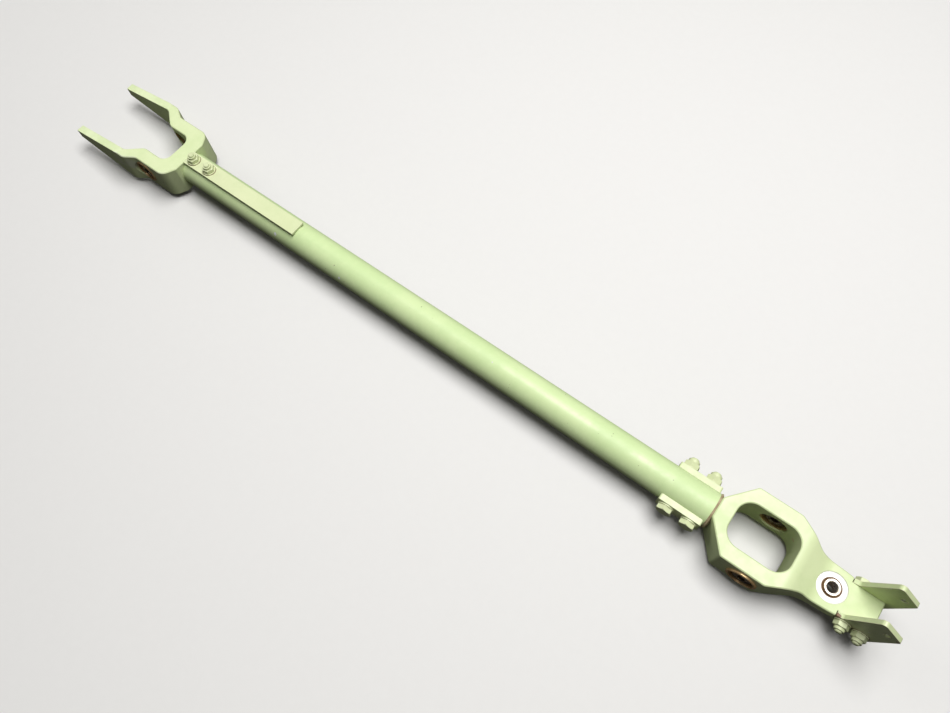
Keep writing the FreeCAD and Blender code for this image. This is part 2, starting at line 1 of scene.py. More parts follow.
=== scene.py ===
"""Dress a helicopter's cyclic torque tube: painted alloy, plated bearings and small laid-on detail.

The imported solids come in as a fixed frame, in metres. The origin lies midway between the fork's two
pivot bearings, +X runs along the tube to the frame, +Y is the pivot bearings' axis and +Z is up.
Each sub-assembly is a class that holds its sizes, builds the pieces that the solids leave out, and
gives its solids their finishes. A studio with a pale floor, soft lamps and the camera comes last.
"""

import json
import logging
import math
from dataclasses import dataclass
from enum import Enum

import bpy
import numpy as np
from mathutils import Matrix, Vector

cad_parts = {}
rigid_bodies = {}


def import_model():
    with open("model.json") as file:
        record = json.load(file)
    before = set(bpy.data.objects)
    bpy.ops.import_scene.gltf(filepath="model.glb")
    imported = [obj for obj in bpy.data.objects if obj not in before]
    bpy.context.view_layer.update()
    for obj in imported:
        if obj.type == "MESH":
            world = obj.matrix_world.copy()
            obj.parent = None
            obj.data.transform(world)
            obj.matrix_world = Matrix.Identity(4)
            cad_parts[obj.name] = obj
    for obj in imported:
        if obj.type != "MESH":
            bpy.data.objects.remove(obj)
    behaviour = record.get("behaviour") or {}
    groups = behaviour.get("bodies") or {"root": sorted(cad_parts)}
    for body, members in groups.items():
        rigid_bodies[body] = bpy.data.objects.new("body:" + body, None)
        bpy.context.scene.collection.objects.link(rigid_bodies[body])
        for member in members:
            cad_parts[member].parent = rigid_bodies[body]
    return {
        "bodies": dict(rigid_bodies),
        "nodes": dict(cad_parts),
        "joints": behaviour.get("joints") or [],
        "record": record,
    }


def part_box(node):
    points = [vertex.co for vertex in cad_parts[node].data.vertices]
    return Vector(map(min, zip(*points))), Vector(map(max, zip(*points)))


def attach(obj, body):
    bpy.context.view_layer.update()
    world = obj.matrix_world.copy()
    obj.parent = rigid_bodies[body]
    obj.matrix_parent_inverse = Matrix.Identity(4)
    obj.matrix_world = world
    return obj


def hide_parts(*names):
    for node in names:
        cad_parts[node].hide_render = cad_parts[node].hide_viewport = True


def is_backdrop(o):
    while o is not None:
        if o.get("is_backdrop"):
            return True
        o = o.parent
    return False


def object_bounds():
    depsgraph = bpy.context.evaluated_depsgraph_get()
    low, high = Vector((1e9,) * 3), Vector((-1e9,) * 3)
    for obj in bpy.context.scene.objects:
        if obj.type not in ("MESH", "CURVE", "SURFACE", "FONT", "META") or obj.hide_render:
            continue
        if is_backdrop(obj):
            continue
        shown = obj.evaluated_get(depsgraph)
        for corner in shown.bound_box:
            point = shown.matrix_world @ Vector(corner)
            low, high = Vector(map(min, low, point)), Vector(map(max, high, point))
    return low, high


LOG = logging.getLogger("torque_tube")
MILLIMETRE = 0.001
FULL_TURN = 2.0 * math.pi
ROOT = "tube_assembly"
ABOUT_Y = (1.0, 0.0, 1.0)
ABOUT_Z = (1.0, 1.0, 0.0)

Colour = tuple[float, float, float]
Place = tuple[float, float, float]
Socket = bpy.types.NodeSocket
Solids = dict[str, bpy.types.Object]


class Kind(Enum):
    """Socket types of a node group's inputs and outputs."""

    VALUE = "NodeSocketFloat"
    VECTOR = "NodeSocketVector"


class Axis(Enum):
    """Directions along which a round piece can stand, as unit vectors."""

    UP = (0.0, 0.0, 1.0)
    DOWN = (0.0, 0.0, -1.0)
    REARWARD = (0.0, 1.0, 0.0)
    FORWARD = (0.0, -1.0, 0.0)

    def turn(self) -> np.ndarray:
        """Rotation matrix whose columns take local X, Y and Z to the world, with Z on this axis."""
        z = np.array(self.value)
        x = np.array([1.0, 0.0, 0.0])
        return np.stack([x, np.cross(z, x), z], axis=1)


class NodeSheet:
    """A node tree with short ways to add, set and join nodes."""

    def __init__(self, tree: bpy.types.NodeTree) -> None:
        """Keep the tree that nodes are added to."""
        self.tree = tree

    def node(self, kind: str, inputs: dict | None = None, **settings: object) -> bpy.types.Node:
        """Add a node and set it up.

        Args:
            kind: Blender's name for the node type.
            inputs: input name or number to a plain value, or to a socket to link from.
            settings: attributes of the node.

        Returns:
            The new node.
        """
        made = self.tree.nodes.new(kind)
        for name, value in settings.items():
            setattr(made, name, value)
        for key, value in (inputs or {}).items():
            if isinstance(value, Socket):
                self.join(value, made.inputs[key])
            else:
                made.inputs[key].default_value = value
        return made

    def join(self, source: Socket, target: Socket) -> None:
        """Link an output to an input."""
        self.tree.links.new(source, target)

    def use(self, group: bpy.types.NodeTree, inputs: dict) -> bpy.types.Node:
        """Place a node group and set its inputs."""
        return self.node("ShaderNodeGroup", inputs, node_tree=group)

    def math(self, operation: str, a: object, b: object = 0.0, clamp: bool = False) -> Socket:
        """Result socket of a math node on a and b."""
        return self.node("ShaderNodeMath", {0: a, 1: b}, operation=operation, use_clamp=clamp).outputs[0]

    def vector(self, operation: str, a: object, b: object = (0.0, 0.0, 0.0)) -> bpy.types.Node:
        """A vector math node on a and b."""
        return self.node("ShaderNodeVectorMath", {0: a, 1: b}, operation=operation)

    def step(self, value: object, low: float, high: float, out: tuple[float, float] = (0.0, 1.0)) -> Socket:
        """Smooth change from out[0] to out[1] as value goes from low to high."""
        settings = {"Value": value, "From Min": low, "From Max": high, "To Min": out[0], "To Max": out[1]}
        return self.node("ShaderNodeMapRange", settings, interpolation_type="SMOOTHSTEP").outputs[0]

    def blend(self, mask: object, under: object, over: object) -> Socket:
        """Colour that goes from under to over as mask goes from 0 to 1; 6 and 7 are the colour inputs."""
        inputs = {0: mask, 6: paint_value(under), 7: paint_value(over)}
        return self.node("ShaderNodeMix", inputs, data_type="RGBA").outputs[2]

    def noise(self, where: object, scale: object, detail: float = 4.0, rough: float = 0.55) -> Socket:
        """Fractal noise from 0 to 1 at the coordinate where."""
        inputs = {"Vector": where, "Scale": scale, "Detail": detail, "Roughness": rough}
        return self.node("ShaderNodeTexNoise", inputs).outputs["Fac"]

    def here(self) -> Socket:
        """The surface point in the object's own metres."""
        return self.node("ShaderNodeTexCoord").outputs["Object"]


def paint_value(value: object) -> object:
    """A colour with its alpha added, or the socket unchanged."""
    return value if isinstance(value, Socket) else (*value, 1.0)


class Effects:
    """Shader groups shared by the finishes, each built once and placed with its own values."""

    SAMPLES = 8
    EDGE_GAIN = 5.0
    CLOUD_FINENESS = 6.0
    DUST_FINENESS = 5.0
    CHIP_SHIFT = 0.0016
    CHIP_SHIFT_SCALE = 1400.0
    SOIL_AND_SHADE_PATCH_SCALE = 260.0
    SPOT_TEAR = 1.3
    DISC_EDGE = 0.0002
    SCRATCH_PATCH_SCALE = 45.0

    def __init__(self) -> None:
        """Build every group."""
        self.edge_wear = self._edge_wear()
        self.mottle = self._mottle()
        self.chips = self._chips()
        self.soil_and_shade = self._soil_and_shade()
        self.spot = self._spot()
        self.disc = self._disc()
        self.scratches = self._scratches()
        self.turning = self._turning()

    @staticmethod
    def _group(name: str, inputs: dict[str, tuple[Kind, object]],
               outputs: list[str]) -> tuple[NodeSheet, dict, dict]:
        """Make an empty group.

        Args:
            name: the group's name.
            inputs: socket name to its kind and default value.
            outputs: names of the value outputs.

        Returns:
            The sheet to draw on, the input sockets by name and the output sockets by name.
        """
        tree = bpy.data.node_groups.new(name, "ShaderNodeTree")
        for key, (kind, default) in inputs.items():
            socket = tree.interface.new_socket(key, in_out="INPUT", socket_type=kind.value)
            socket.default_value = default
        for key in outputs:
            tree.interface.new_socket(key, in_out="OUTPUT", socket_type=Kind.VALUE.value)
        entry = tree.nodes.new("NodeGroupInput")
        exit_node = tree.nodes.new("NodeGroupOutput")
        return NodeSheet(tree), entry.outputs, exit_node.inputs

    def _edge_wear(self) -> bpy.types.NodeTree:
        """Mask of worn edges: where the rounded normal leaves the true one, broken up by noise."""
        sheet, given, result = self._group(
            "edge wear",
            {"Width": (Kind.VALUE, 0.001), "Amount": (Kind.VALUE, 0.5), "Scale": (Kind.VALUE, 400.0)},
            ["Mask", "Edge"])
        rounded = sheet.node("ShaderNodeBevel", {"Radius": given["Width"]}, samples=self.SAMPLES)
        flat = sheet.node("ShaderNodeNewGeometry")
        dot = sheet.vector("DOT_PRODUCT", rounded.outputs[0], flat.outputs["Normal"]).outputs["Value"]
        edge = sheet.math("MULTIPLY", sheet.math("SUBTRACT", 1.0, dot), self.EDGE_GAIN, clamp=True)
        torn = sheet.noise(sheet.here(), given["Scale"], detail=5.0, rough=0.65)
        lifted = sheet.math("ADD", sheet.math("MULTIPLY", edge, given["Amount"]), torn)
        worn = sheet.step(lifted, low=0.86, high=0.98)
        near = sheet.step(edge, low=0.02, high=0.12)
        sheet.join(sheet.math("MULTIPLY", worn, near), result["Mask"])
        sheet.join(edge, result["Edge"])
        return sheet.tree

    def _mottle(self) -> bpy.types.NodeTree:
        """Broad tone change of sprayed paint, and the fine orange-peel height over it."""
        sheet, given, result = self._group(
            "mottle", {"Scale": (Kind.VALUE, 30.0), "Grain": (Kind.VALUE, 900.0)}, ["Tone", "Height"])
        here = sheet.here()
        broad = sheet.noise(here, given["Scale"], detail=3.0, rough=0.5)
        finer = sheet.math("MULTIPLY", given["Scale"], self.CLOUD_FINENESS)
        cloud = sheet.noise(here, finer, detail=5.0, rough=0.6)
        tone = sheet.math("ADD", sheet.math("MULTIPLY", broad, 0.6), sheet.math("MULTIPLY", cloud, 0.4))
        sheet.join(sheet.step(tone, low=0.34, high=0.66), result["Tone"])
        peel = sheet.noise(here, given["Grain"], detail=2.0, rough=0.5)
        finest = sheet.math("MULTIPLY", given["Grain"], self.DUST_FINENESS)
        dust = sheet.noise(here, finest, detail=2.0, rough=0.6)
        height = sheet.math("ADD", sheet.math("MULTIPLY", peel, 0.7), sheet.math("MULTIPLY", dust, 0.3))
        sheet.join(height, result["Height"])
        return sheet.tree

    def _chips(self) -> bpy.types.NodeTree:
        """Mask of small chips: a few random cells hold a ragged blot round their own centre."""
        sheet, given, result = self._group(
            "chips",
            {"Scale": (Kind.VALUE, 120.0), "Cover": (Kind.VALUE, 0.05), "Size": (Kind.VALUE, 0.2)},
            ["Mask"])
        here = sheet.here()
        ragged = sheet.node("ShaderNodeTexNoise", {"Vector": here, "Scale": self.CHIP_SHIFT_SCALE,
                                                   "Detail": 3.0})
        shift = sheet.node("ShaderNodeVectorMath", {0: ragged.outputs["Color"], "Scale": self.CHIP_SHIFT},
                           operation="SCALE")
        where = sheet.vector("ADD", here, shift.outputs[0]).outputs[0]
        cells = sheet.node("ShaderNodeTexVoronoi", {"Vector": where, "Scale": given["Scale"]})
        chance = sheet.node("ShaderNodeSeparateColor", {0: cells.outputs["Color"]})
        chosen = sheet.math("LESS_THAN", chance.outputs[0], given["Cover"])
        share = sheet.step(chance.outputs[1], low=0.0, high=1.0, out=(0.35, 1.0))
        spread = sheet.math("MULTIPLY", given["Size"], share)
        inside = sheet.math("LESS_THAN", cells.outputs["Distance"], spread)
        sheet.join(sheet.math("MULTIPLY", chosen, inside), result["Mask"])
        return sheet.tree

    def _soil_and_shade(self) -> bpy.types.NodeTree:
        """Mask of dirt with painted shade: high near other surfaces, in corners and gaps, and thicker where
        noise lets it lie.
        """
        sheet, given, result = self._group(
            "soil_and_shade", {"Reach": (Kind.VALUE, 0.004), "Amount": (Kind.VALUE, 0.5)}, ["Mask"])
        # Occlusion: the mask rises near other surfaces, so the colour it carries is painted shade as well as
        # dirt.
        shelter = sheet.node("ShaderNodeAmbientOcclusion", {"Distance": given["Reach"]}, samples=self.SAMPLES)
        closed = sheet.step(sheet.math("SUBTRACT", 1.0, shelter.outputs["AO"]), low=0.25, high=0.85)
        patch = sheet.noise(sheet.here(), self.SOIL_AND_SHADE_PATCH_SCALE, detail=5.0, rough=0.6)
        thick = sheet.math("MULTIPLY", closed, sheet.step(patch, low=0.3, high=0.7, out=(0.5, 1.0)))
        sheet.join(sheet.math("MULTIPLY", thick, given["Amount"], clamp=True), result["Mask"])
        return sheet.tree

    def _spot(self) -> bpy.types.NodeTree:
        """Mask of one ragged blot round a given point."""
        sheet, given, result = self._group(
            "spot",
            {"Centre": (Kind.VECTOR, (0.0, 0.0, 0.0)), "Radius": (Kind.VALUE, 0.002),
             "Scale": (Kind.VALUE, 900.0)},
            ["Mask"])
        here = sheet.here()
        away = sheet.vector("DISTANCE", here, given["Centre"]).outputs["Value"]
        share = sheet.math("DIVIDE", away, given["Radius"])
        ragged = sheet.noise(here, given["Scale"], detail=4.0, rough=0.6)
        torn = sheet.math("MULTIPLY", ragged, self.SPOT_TEAR)
        sheet.join(sheet.step(sheet.math("ADD", share, torn), low=1.5, high=1.25), result["Mask"])
        return sheet.tree

    def _disc(self) -> bpy.types.NodeTree:
        """Mask of everything within a radius of a vertical axis, with a clean edge."""
        sheet, given, result = self._group(
            "disc", {"Centre": (Kind.VECTOR, (0.0, 0.0, 0.0)), "Radius": (Kind.VALUE, 0.01)}, ["Mask"])
        offset = sheet.vector("SUBTRACT", sheet.here(), given["Centre"]).outputs[0]
        flat = sheet.vector("MULTIPLY", offset, ABOUT_Z).outputs[0]
        inward = sheet.math("SUBTRACT", given["Radius"], sheet.vector("LENGTH", flat).outputs["Value"])
        sheet.join(sheet.step(inward, low=0.0, high=self.DISC_EDGE), result["Mask"])
        return sheet.tree

    def _scratches(self) -> bpy.types.NodeTree:
        """Mask of fine scratches: noise drawn out along one direction and cut at a high level."""
        sheet, given, result = self._group(
            "scratches",
            {"Stretch": (Kind.VECTOR, (40.0, 1200.0, 1200.0)), "Level": (Kind.VALUE, 0.68)},
            ["Mask"])
        drawn = sheet.vector("MULTIPLY", sheet.here(), given["Stretch"]).outputs[0]
        lines = sheet.noise(drawn, 1.0, detail=3.0, rough=0.6)
        patch = sheet.noise(sheet.here(), self.SCRATCH_PATCH_SCALE, detail=2.0)
        gate = sheet.step(patch, low=0.5, high=0.66)
        sharp = sheet.math("GREATER_THAN", lines, given["Level"])
        sheet.join(sheet.math("MULTIPLY", sharp, gate), result["Mask"])
        return sheet.tree

    def _turning(self) -> bpy.types.NodeTree:
        """Height of lathe marks: noise of the distance from an axis through a given point."""
        sheet, given, result = self._group(
            "turning",
            {"Centre": (Kind.VECTOR, (0.0, 0.0, 0.0)), "Across": (Kind.VECTOR, ABOUT_Y),
             "Pitch": (Kind.VALUE, 9000.0)},
            ["Height"])
        offset = sheet.vector("SUBTRACT", sheet.here(), given["Centre"]).outputs[0]
        flat = sheet.vector("MULTIPLY", offset, given["Across"]).outputs[0]
        radius = sheet.vector("LENGTH", flat).outputs["Value"]
        marks = sheet.node("ShaderNodeTexNoise", {"W": radius, "Scale": given["Pitch"], "Detail": 2.0},
                           noise_dimensions="1D")
        sheet.join(marks.outputs["Fac"], result["Height"])
        return sheet.tree


def blank_material(name: str) -> tuple[bpy.types.Material, NodeSheet, bpy.types.Node]:
    """A material with only a Principled shader; returns it, its sheet and the shader."""
    material = bpy.data.materials.new(name)
    material.use_nodes = True
    shader = material.node_tree.nodes["Principled BSDF"]
    return material, NodeSheet(material.node_tree), shader


@dataclass(frozen=True)
class Blot:
    """One worn or chipped place on a painted piece, or a place of painted light."""

    centre: Place
    radius: float
    colour: Colour
    strength: float = 1.0
    edge_only: bool = False


@dataclass(frozen=True)
class Land:
    """A round face machined bare through the paint, about a vertical axis."""

    centre: Place
    radius: float
    colour: Colour = (0.860, 0.850, 0.820)


@dataclass(frozen=True)
class Paint:
    """Satin green primer paint on alloy or steel, with worn edges, chips, and dirt with painted shade near
    other surfaces.
    """

    name: str
    base: Colour = (0.740, 0.830, 0.480)
    deep: Colour = (0.670, 0.780, 0.420)
    bare: Colour = (0.700, 0.640, 0.470)
    chip: Colour = (0.780, 0.780, 0.720)
    # Dark colour of the specks, and of the dirt with painted shade near other surfaces.
    grime_and_shade: Colour = (0.150, 0.125, 0.075)
    gloss_low: float = 0.34
    gloss_high: float = 0.52
    damage_rough: float = 0.22
    cloud_scale: float = 28.0
    grain: float = 900.0
    edge_width: float = 0.0008
    edge_wear: float = 0.42
    wear_scale: float = 420.0
    blot_edge: float = 0.0022
    chip_cover: float = 0.02
    chip_size: float = 0.16
    chip_scale: float = 130.0
    soil_and_shade: float = 0.55
    soil_and_shade_reach: float = 0.004
    chip_depth: float = 1.5
    scratch_depth: float = 0.5
    peel: float = 0.10
    peel_height: float = 0.0004
    bevel_share: float = 0.6
    bevel_samples: int = 6
    scratch_stretch: Place = (40.0, 1200.0, 1200.0)
    scratch_level: float = 0.72
    scratch_show: float = 0.35
    specks: float = 0.0
    speck_size: float = 0.22
    speck_scale: float = 420.0
    speck_show: float = 0.7
    blots: tuple[Blot, ...] = ()
    lands: tuple[Land, ...] = ()

    def material(self, effects: Effects) -> bpy.types.Material:
        """Build the paint.

        Args:
            effects: the shared shader groups.

        Returns:
            The material.
        """
        material, sheet, shader = blank_material(self.name)
        mottle = sheet.use(effects.mottle, {"Scale": self.cloud_scale, "Grain": self.grain}).outputs
        wear = sheet.use(effects.edge_wear, {"Width": self.edge_width, "Amount": self.edge_wear,
                                             "Scale": self.wear_scale}).outputs["Mask"]
        chips = sheet.use(effects.chips, {"Scale": self.chip_scale, "Cover": self.chip_cover,
                                          "Size": self.chip_size}).outputs["Mask"]
        soil_and_shade = sheet.use(effects.soil_and_shade, {"Reach": self.soil_and_shade_reach, "Amount": self.soil_and_shade}).outputs["Mask"]
        lines = sheet.use(effects.scratches, {"Stretch": self.scratch_stretch,
                                              "Level": self.scratch_level}).outputs["Mask"]
        colour = sheet.blend(mottle["Tone"], self.deep, self.base)
        colour = sheet.blend(sheet.math("MULTIPLY", lines, self.scratch_show), colour, self.bare)
        colour = sheet.blend(wear, colour, self.bare)
        colour = sheet.blend(chips, colour, self.chip)
        for blot in self.blots:
            spot = sheet.use(effects.spot, {"Centre": blot.centre, "Radius": blot.radius}).outputs["Mask"]
            if blot.edge_only:
                rim = sheet.use(effects.edge_wear, {"Width": self.blot_edge}).outputs["Edge"]
                spot = sheet.math("MULTIPLY", spot, rim)
            colour = sheet.blend(sheet.math("MULTIPLY", spot, blot.strength), colour, blot.colour)
        dots = sheet.use(effects.chips, {"Scale": self.speck_scale, "Cover": self.specks,
                                         "Size": self.speck_size}).outputs["Mask"]
        colour = sheet.blend(sheet.math("MULTIPLY", dots, self.speck_show), colour, self.grime_and_shade)
        # Painted shade with dirt: darker near other surfaces, from the occlusion mask.
        colour = sheet.blend(soil_and_shade, colour, self.grime_and_shade)
        for land in self.lands:
            disc = sheet.use(effects.disc, {"Centre": land.centre, "Radius": land.radius}).outputs["Mask"]
            colour = sheet.blend(disc, colour, land.colour)
        sheet.join(colour, shader.inputs["Base Color"])
        damage = sheet.math("MAXIMUM", wear, sheet.math("MAXIMUM", chips, soil_and_shade))
        gloss = sheet.step(mottle["Tone"], low=0.0, high=1.0, out=(self.gloss_high, self.gloss_low))
        rough = sheet.math("ADD", gloss, sheet.math("MULTIPLY", damage, self.damage_rough), clamp=True)
        sheet.join(rough, shader.inputs["Roughness"])
        loss = sheet.math("ADD", sheet.math("MULTIPLY", chips, self.chip_depth),
                          sheet.math("MULTIPLY", lines, self.scratch_depth))
        height = sheet.math("SUBTRACT", mottle["Height"], loss)
        rounded = sheet.node("ShaderNodeBevel", {"Radius": self.edge_width * self.bevel_share},
                             samples=self.bevel_samples)
        bump = sheet.node("ShaderNodeBump", {"Height": height, "Strength": self.peel,
                                             "Distance": self.peel_height, "Normal": rounded.outputs[0]})
        sheet.join(bump.outputs[0], shader.inputs["Normal"])
        return material


@dataclass(frozen=True)
class TurnedMetal:
    """Plated or bare metal with lathe marks, tarnished patches, and dirt with painted shade in its corners.
    """

    name: str
    bright: Colour
    dull: Colour
    centre: Place
    across: Place
    # Colour of the dirt with painted shade in corners.
    grime_and_shade: Colour = (0.075, 0.050, 0.030)
    worn: Colour = (0.80, 0.78, 0.74)
    worn_show: float = 0.6
    edge_width: float = 0.0004
    edge_wear: float = 0.5
    wear_scale: float = 700.0
    rough_low: float = 0.22
    rough_high: float = 0.42
    soil_and_shade: float = 0.6
    soil_and_shade_reach: float = 0.002
    soil_rough: float = 0.3
    marks: float = 0.10
    mark_height: float = 0.0001
    metallic: float = 1.0
    tarnish_scale: float = 240.0
    clean_radius: float = 0.0
    film: Colour = (0.0, 0.0, 0.0)

    def material(self, effects: Effects) -> bpy.types.Material:
        """Build the metal.

        Args:
            effects: the shared shader groups.

        Returns:
            The material.
        """
        material, sheet, shader = blank_material(self.name)
        shader.inputs["Metallic"].default_value = self.metallic
        cloud = sheet.noise(sheet.here(), self.tarnish_scale, detail=5.0, rough=0.6)
        tarnish_and_glints = sheet.step(cloud, low=0.38, high=0.62)
        soil_and_shade = sheet.use(effects.soil_and_shade, {"Reach": self.soil_and_shade_reach, "Amount": self.soil_and_shade}).outputs["Mask"]
        wear = sheet.use(effects.edge_wear, {"Width": self.edge_width, "Amount": self.edge_wear,
                                             "Scale": self.wear_scale}).outputs["Mask"]
        marks = sheet.use(effects.turning, {"Centre": self.centre, "Across": self.across}).outputs["Height"]
        # Two tones at random: tarnished patches, and on the ground rings painted glints.
        colour = sheet.blend(tarnish_and_glints, self.bright, self.dull)
        if self.clean_radius > 0:
            disc = sheet.use(effects.disc, {"Centre": self.centre, "Radius": self.clean_radius})
            colour = sheet.blend(disc.outputs["Mask"], self.film, colour)
        colour = sheet.blend(sheet.math("MULTIPLY", wear, self.worn_show), colour, self.worn)
        # Painted shade with dirt: darker near other surfaces, from the occlusion mask.
        colour = sheet.blend(soil_and_shade, colour, self.grime_and_shade)
        sheet.join(colour, shader.inputs["Base Color"])
        sheen = sheet.step(tarnish_and_glints, low=0.0, high=1.0, out=(self.rough_low, self.rough_high))
        rough = sheet.math("ADD", sheen, sheet.math("MULTIPLY", soil_and_shade, self.soil_rough), clamp=True)
        sheet.join(rough, shader.inputs["Roughness"])
        bump = sheet.node("ShaderNodeBump", {"Height": marks, "Strength": self.marks,
                                             "Distance": self.mark_height})
        sheet.join(bump.outputs[0], shader.inputs["Normal"])
        return material


@dataclass(frozen=True)
class SoftSeal:
    """Dark rubbery or fibrous surface with a fine grain, and dust with painted shade near other surfaces."""

    name: str
    dark: Colour
    pale: Colour
    # Colour of dust, and of painted shade near other surfaces.
    dust: Colour = (0.030, 0.024, 0.018)
    dust_and_shade_reach: float = 0.002
    dust_and_shade_amount: float = 0.5
    cloud_scale: float = 160.0
    grain: float = 2500.0
    rough: float = 0.62
    rough_spread: float = 0.16
    relief: float = 0.35
    relief_height: float = 0.0003

    def material(self, effects: Effects) -> bpy.types.Material:
        """Build the seal's material.

        Args:
            effects: the shared shader groups.

        Returns:
            The material.
        """
        material, sheet, shader = blank_material(self.name)
        mottle = sheet.use(effects.mottle, {"Scale": self.cloud_scale, "Grain": self.grain}).outputs
        soil_and_shade = sheet.use(effects.soil_and_shade, {"Reach": self.dust_and_shade_reach, "Amount": self.dust_and_shade_amount}).outputs["Mask"]
        colour = sheet.blend(mottle["Tone"], self.dark, self.pale)
        # Dust with painted shade: darker near other surfaces, from the occlusion mask.
        colour = sheet.blend(soil_and_shade, colour, self.dust)
        sheet.join(colour, shader.inputs["Base Color"])
        spread = (self.rough, self.rough + self.rough_spread)
        sheet.join(sheet.step(mottle["Tone"], low=0.0, high=1.0, out=spread), shader.inputs["Roughness"])
        bump = sheet.node("ShaderNodeBump", {"Height": mottle["Height"], "Strength": self.relief,
                                             "Distance": self.relief_height})
        sheet.join(bump.outputs[0], shader.inputs["Normal"])
        return material


class MeshBench:
    """Turns numpy grids of points into finished meshes that ride on a body."""

    def __init__(self) -> None:
        """Start with no pieces made."""
        self.made: list[str] = []

    def grid(self, name: str, sheets: list[np.ndarray], material: bpy.types.Material,
             body: str = ROOT, replaced: tuple[str, ...] = ()) -> bpy.types.Object:
        """Make one piece from closed grids.

        Each quad joins a point to the next along its row and in the next row, and the last row and
        column join the first.

        Args:
            name: the piece's name.
            sheets: arrays of shape (rows, columns, 3).
            material: the finish.
            body: the body it moves with.
            replaced: solids that the piece stands for.

        Returns:
            The object.
        """
        points: list[np.ndarray] = []
        faces: list[np.ndarray] = []
        count = 0
        for sheet in sheets:
            rows, columns = sheet.shape[:2]
            row = np.arange(rows)[:, None] * columns
            above = np.roll(row, -1, axis=0)
            column = np.arange(columns)[None, :]
            beside = np.roll(column, -1, axis=1)
            corners = [row + column, row + beside, above + beside, above + column]
            points.append(sheet.reshape(-1, 3))
            faces.append(np.stack(corners, axis=2).reshape(-1, 4) + count)
            count += rows * columns
        mesh = bpy.data.meshes.new(name)
        mesh.from_pydata(np.concatenate(points).tolist(), [], np.concatenate(faces).tolist())
        mesh.validate()
        mesh.polygons.foreach_set("use_smooth", np.ones(len(mesh.polygons), bool))
        mesh.materials.append(material)
        piece = bpy.data.objects.new(name, mesh)
        bpy.context.scene.collection.objects.link(piece)
        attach(piece, body)
        if replaced:
            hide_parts(*replaced)
        self.made.append(name)
        return piece

    @staticmethod
    def revolve(profile: np.ndarray, centre: np.ndarray, axis: Axis, columns: int = 96) -> np.ndarray:
        """Grid of a closed profile turned about an axis.

        Each point is centre + r cos(a) x + r sin(a) y + h z, where (r, h) runs along the profile and a
        runs once round. A profile that runs anticlockwise, with r to the right, faces outwards.

        Args:
            profile: array of (radius, height) points in metres, in order round the section.
            centre: the axis's base point.
            axis: the direction of height.
            columns: points round the turn.

        Returns:
            Array of shape (profile points, columns, 3).
        """
        angle = round_turn(columns)[None, :]
        radius = profile[:, 0:1]
        local = np.stack([radius * np.cos(angle), radius * np.sin(angle),
                          np.broadcast_to(profile[:, 1:2], (len(profile), columns))], axis=2)
        return local @ axis.turn().T + centre


def round_turn(points: int) -> np.ndarray:
    """Angles of evenly spaced points once round a circle."""
    return np.linspace(0.0, FULL_TURN, points, endpoint=False)


def solid_boxes(node: bpy.types.Object) -> list[tuple[np.ndarray, np.ndarray]]:
    """Corner pairs of the two like solids in a node, split at the middle of its length."""
    flat = np.empty(len(node.data.vertices) * 3, np.float32)
    node.data.vertices.foreach_get("co", flat)
    points = flat.reshape(-1, 3).astype(float)
    middle = (points[:, 0].min() + points[:, 0].max()) / 2
    parts = [points[points[:, 0] < middle], points[points[:, 0] >= middle]]
    return [(part.min(axis=0), part.max(axis=0)) for part in parts]


def dress(nodes: Solids, names: list[str], material: bpy.types.Material) -> None:
    """Give solids a finish.

    Args:
        nodes: every solid by name.
        names: the solids to dress.
        material: the finish.
    """
    for name in names:
        node = nodes[name]
        if not node.material_slots:
            node.data.materials.append(material)
        for slot in node.material_slots:
            slot.material = material
        LOG.info("dressed %s with %s", name, material.name)


